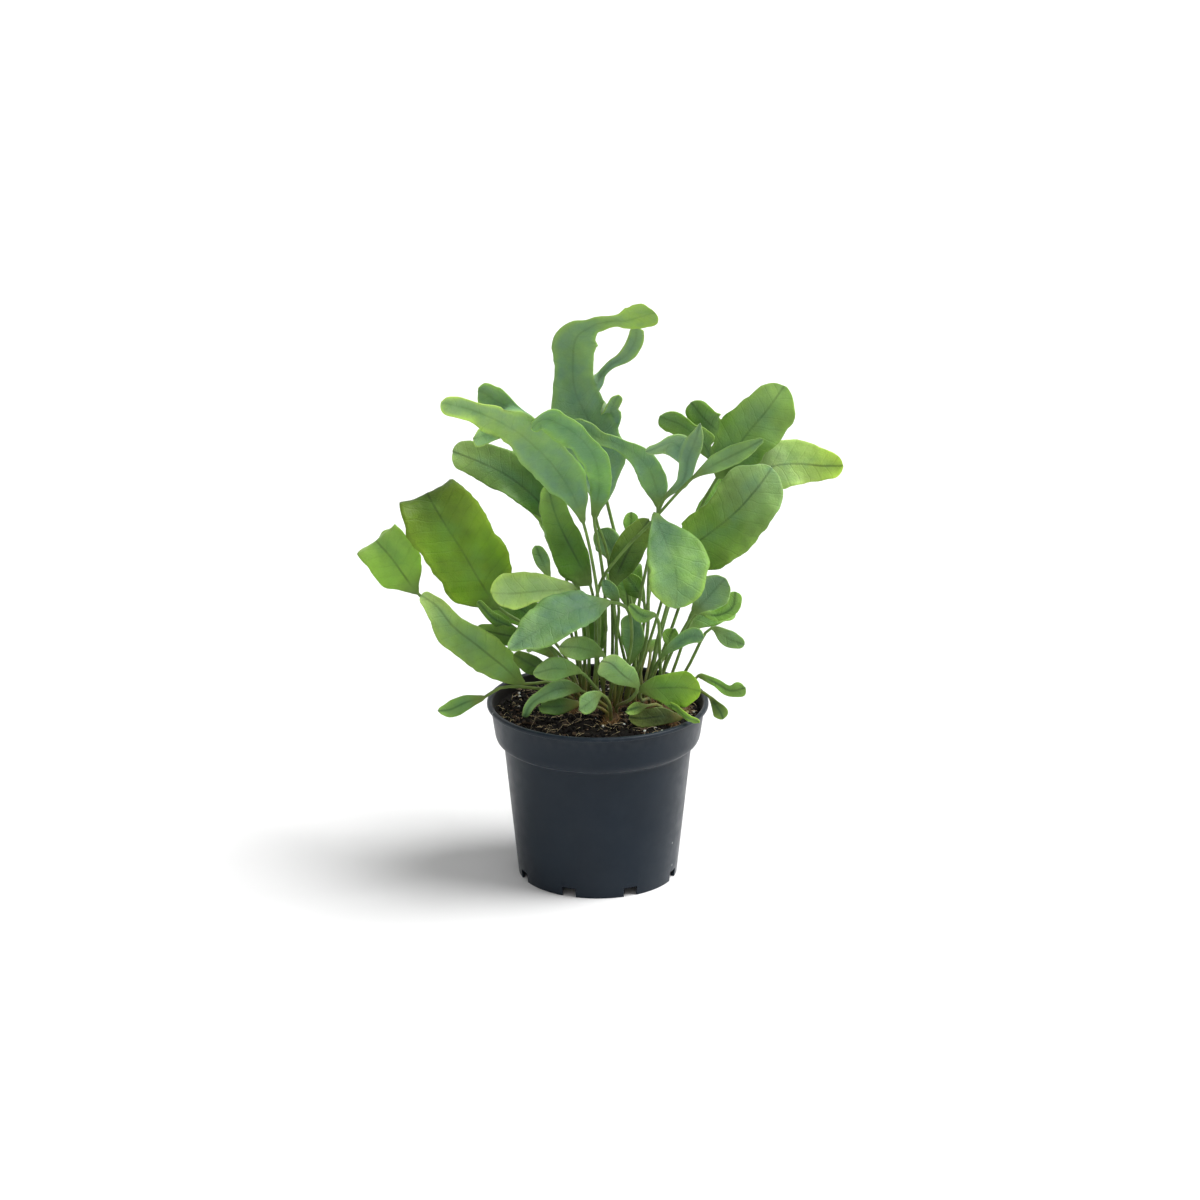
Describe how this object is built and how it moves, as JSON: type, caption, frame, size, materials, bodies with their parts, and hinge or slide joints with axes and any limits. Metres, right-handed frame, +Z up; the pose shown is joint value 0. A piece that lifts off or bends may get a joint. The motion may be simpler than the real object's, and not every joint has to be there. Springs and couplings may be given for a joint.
{
  "type": "potted fern",
  "caption": "Free-standing creeping fern with tall, lobed blue-green fronds on thin stalks over a bed of dark soil in a round, tapered plastic nursery pot.",
  "frame": {"origin": "centre of the pot's foot ring, on the surface the pot stands on, under the middle of the object's box", "axes": "+Z up along the pot's axis, -Y towards the front of the plant, +X to its right-hand side seen from the front"},
  "size_m": [0.2629, 0.1449, 0.3253],
  "materials": {
    "pot": "satin",
    "soil": "rough",
    "rhizome": "rough",
    "frond_blue_green": "waxy",
    "frond_mid_green": "satin",
    "frond_dark_green": "satin",
    "frond_light_green": "satin",
    "frond_sage_green": "waxy",
    "frond_olive_green": "satin"
  },
  "bodies": {
    "root": {"pot": "pot", "soil": "soil", "rhizome": "rhizome", "frond_crest": "frond_blue_green", "frond_arching_left": "frond_blue_green", "frond_folded_over": "frond_blue_green", "frond_ribbon": "frond_blue_green", "frond_shaded_left": "frond_dark_green", "frond_tall_folded": "frond_dark_green", "frond_broad_left": "frond_dark_green", "frond_far_left": "frond_light_green", "frond_long_low_left": "frond_mid_green", "frond_over_rim_left": "frond_mid_green", "frond_front_left": "frond_blue_green", "frond_sage_left": "frond_sage_green", "frond_behind_low_left": "frond_dark_green", "frond_low_left": "frond_dark_green", "frond_oval_front_left": "frond_mid_green", "frond_under_front_left": "frond_mid_green", "frond_front_middle": "frond_light_green", "frond_front_right": "frond_mid_green", "frond_knob_right": "frond_light_green", "frond_over_rim_right": "frond_olive_green", "frond_olive_on_soil": "frond_olive_green", "frond_olive_small": "frond_olive_green", "frond_silver_edged": "frond_sage_green", "frond_under_silver": "frond_mid_green", "frond_oval_front": "frond_sage_green", "frond_drooping_front": "frond_blue_green", "frond_dark_upright": "frond_dark_green", "frond_broad_right": "frond_dark_green", "frond_upper_right": "frond_mid_green", "frond_twisted": "frond_sage_green", "frond_edge_on": "frond_sage_green", "frond_far_right": "frond_light_green", "frond_grey_right": "frond_sage_green", "frond_strip_right": "frond_light_green", "frond_blue_right": "frond_blue_green", "frond_outer_right": "frond_sage_green", "frond_round_right": "frond_light_green", "frond_blade_middle": "frond_blue_green", "frond_dark_inner": "frond_dark_green", "frond_cupped_middle": "frond_mid_green", "frond_behind_droop": "frond_dark_green", "frond_pale_middle": "frond_sage_green", "frond_lime_tip": "frond_light_green", "frond_small_middle": "frond_blue_green", "frond_curled_left": "frond_sage_green", "frond_back_tall": "frond_dark_green", "frond_back_high_left": "frond_light_green", "frond_back_high_right": "frond_mid_green", "frond_back_left": "frond_dark_green", "frond_back_right": "frond_mid_green", "frond_back_middle": "frond_dark_green", "frond_back_low_left": "frond_dark_green", "frond_back_low_right": "frond_mid_green", "frond_back_small_left": "frond_mid_green", "frond_back_small_right": "frond_light_green"}
  },
  "joints": []
}
